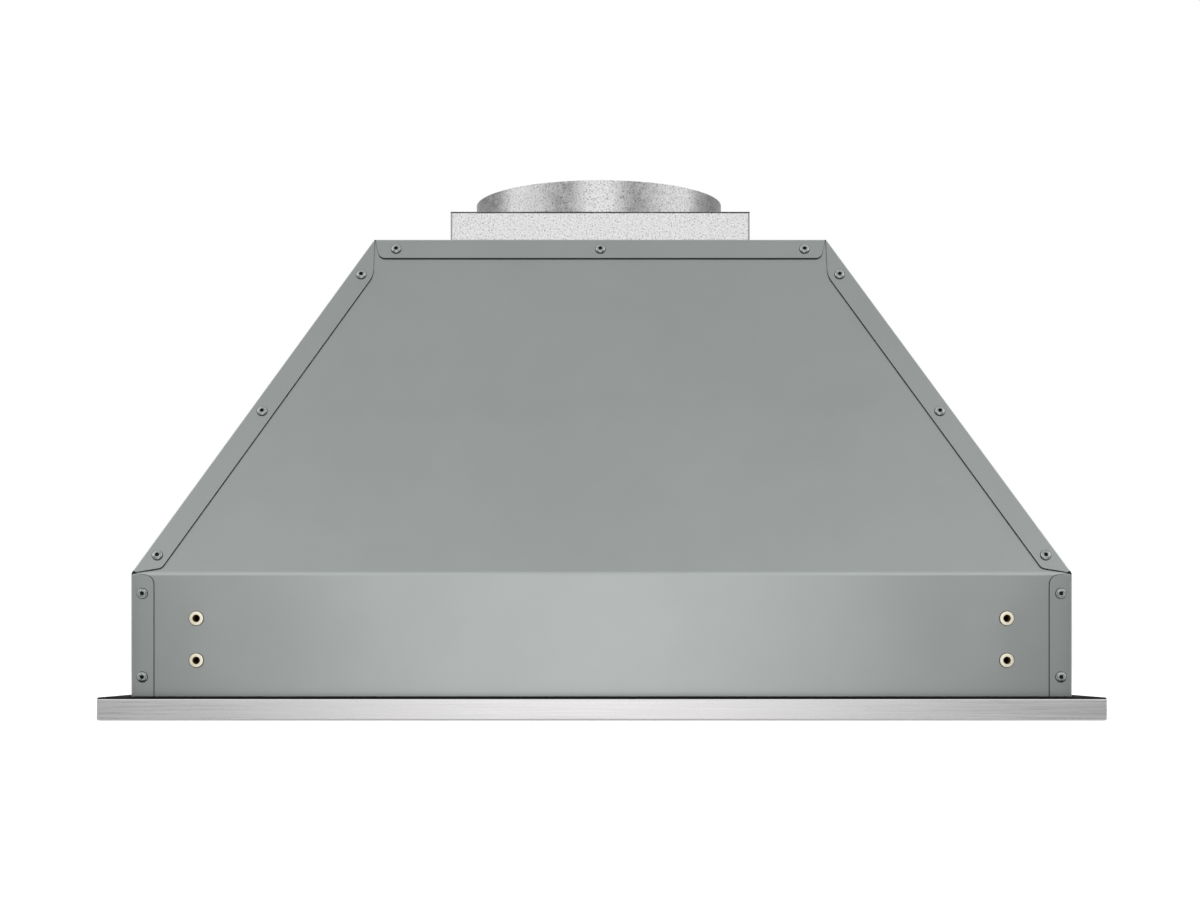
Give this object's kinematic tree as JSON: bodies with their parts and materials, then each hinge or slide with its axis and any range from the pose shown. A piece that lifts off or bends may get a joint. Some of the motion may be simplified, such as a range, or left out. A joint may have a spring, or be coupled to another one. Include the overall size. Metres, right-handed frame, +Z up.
{
  "type": "range hood insert",
  "caption": "Sheet-metal range hood insert: tapered body on a flat brushed flange, round duct collar with damper, blower, baffle filters, lamps and push buttons.",
  "frame": {"origin": "centre of the flange's footprint, at its underside", "axes": "+Z up to the duct collar, -Y towards the front (the side with the controls), +X to the right seen from the front"},
  "size_m": [0.7112, 0.489, 0.4132],
  "materials": {
    "brushed_flange": "horizontally brushed stainless steel, neutral grey",
    "body_sheet": "satin mill-finish sheet, slightly greenish grey",
    "rivet": "plain steel blind rivet, smooth domed head",
    "rivet_nut": "yellow zinc plated steel",
    "galvanised": "hot-dip galvanised sheet with fine spangle",
    "spring_steel": "bright drawn steel",
    "baffle_steel": "bright stainless steel",
    "cast_aluminium": "cast, matt",
    "black_plastic": "matt moulded",
    "grey_plastic": "satin moulded",
    "circuit_board": "green board",
    "opal_lens": "opal diffuser"
  },
  "bodies": {
    "housing": {"bottom_flange": "brushed_flange", "front_panel": "body_sheet", "rear_panel": "body_sheet", "left_side_panel": "body_sheet", "right_side_panel": "body_sheet", "roof_panel": "body_sheet", "left_strip_rivet_1": "rivet", "left_strip_rivet_2": "rivet", "left_strip_rivet_3": "rivet", "left_strip_rivet_4": "rivet", "left_strip_rivet_5": "rivet", "right_strip_rivet_1": "rivet", "right_strip_rivet_2": "rivet", "right_strip_rivet_3": "rivet", "right_strip_rivet_4": "rivet", "right_strip_rivet_5": "rivet", "roof_strip_rivet_1": "rivet", "roof_strip_rivet_2": "rivet", "roof_strip_rivet_3": "rivet", "rivet_nut_1": "rivet_nut", "rivet_nut_2": "rivet_nut", "rivet_nut_3": "rivet_nut", "rivet_nut_4": "rivet_nut", "transition_box": "galvanised", "duct_collar": "galvanised", "damper_axle": "spring_steel", "scroll_wrapper": "galvanised", "scroll_left_side": "galvanised", "scroll_right_side": "galvanised", "motor": "cast_aluminium", "motor_bracket": "galvanised", "motor_capacitor": "black_plastic", "junction_box": "galvanised", "junction_box_cover": "galvanised", "cable_gland": "grey_plastic", "canopy_liner": "brushed_flange", "control_fascia": "brushed_flange", "button_bezel": "black_plastic", "control_board": "circuit_board", "left_lamp_housing": "brushed_flange", "left_lamp_lens": "opal_lens", "right_lamp_housing": "brushed_flange", "right_lamp_lens": "opal_lens", "left_filter_catch": "spring_steel", "right_filter_catch": "spring_steel"},
    "rotor": {"impeller": "galvanised", "motor_shaft": "spring_steel"},
    "front_flap": {"front_damper_flap": "galvanised"},
    "rear_flap": {"rear_damper_flap": "galvanised"},
    "light_key": {"light_button": "grey_plastic"},
    "off_key": {"off_button": "grey_plastic"},
    "low_key": {"low_button": "grey_plastic"},
    "medium_key": {"medium_button": "grey_plastic"},
    "high_key": {"high_button": "grey_plastic"},
    "left_filter": {"left_filter_frame": "brushed_flange", "left_filter_baffles": "baffle_steel", "left_filter_handle": "spring_steel"},
    "right_filter": {"right_filter_frame": "brushed_flange", "right_filter_baffles": "baffle_steel", "right_filter_handle": "spring_steel"}
  },
  "joints": [
    {"name": "impeller_spin", "type": "hinge", "parent": "housing", "child": "rotor", "pos_m": [0, -0.045, 0.2362], "axis": [1, 0, 0], "continuous": true},
    {"name": "front_flap_swing", "type": "hinge", "parent": "housing", "child": "front_flap", "pos_m": [0, 0, 0.3781], "axis": [-1, 0, 0], "range_deg": [0, 80]},
    {"name": "rear_flap_swing", "type": "hinge", "parent": "housing", "child": "rear_flap", "pos_m": [0, 0, 0.3781], "axis": [1, 0, 0], "range_deg": [0, 80]},
    {"name": "light_button_press", "type": "slide", "parent": "housing", "child": "light_key", "axis": [0, -0.2425, 0.9701], "range_m": [0, 0.0015], "stiffness_N_per_m": 600},
    {"name": "off_button_press", "type": "slide", "parent": "housing", "child": "off_key", "axis": [0, -0.2425, 0.9701], "range_m": [0, 0.0015], "stiffness_N_per_m": 600},
    {"name": "low_button_press", "type": "slide", "parent": "housing", "child": "low_key", "axis": [0, -0.2425, 0.9701], "range_m": [0, 0.0015], "stiffness_N_per_m": 600},
    {"name": "medium_button_press", "type": "slide", "parent": "housing", "child": "medium_key", "axis": [0, -0.2425, 0.9701], "range_m": [0, 0.0015], "stiffness_N_per_m": 600},
    {"name": "high_button_press", "type": "slide", "parent": "housing", "child": "high_key", "axis": [0, -0.2425, 0.9701], "range_m": [0, 0.0015], "stiffness_N_per_m": 600},
    {"name": "left_filter_swing", "type": "hinge", "parent": "housing", "child": "left_filter", "pos_m": [-0.1524, 0.1822, 0.03], "axis": [1, 0, 0], "range_deg": [0, 75], "deforming": ["left_filter_catch"]},
    {"name": "right_filter_swing", "type": "hinge", "parent": "housing", "child": "right_filter", "pos_m": [0.1524, 0.1822, 0.03], "axis": [1, 0, 0], "range_deg": [0, 75], "deforming": ["right_filter_catch"]}
  ]
}
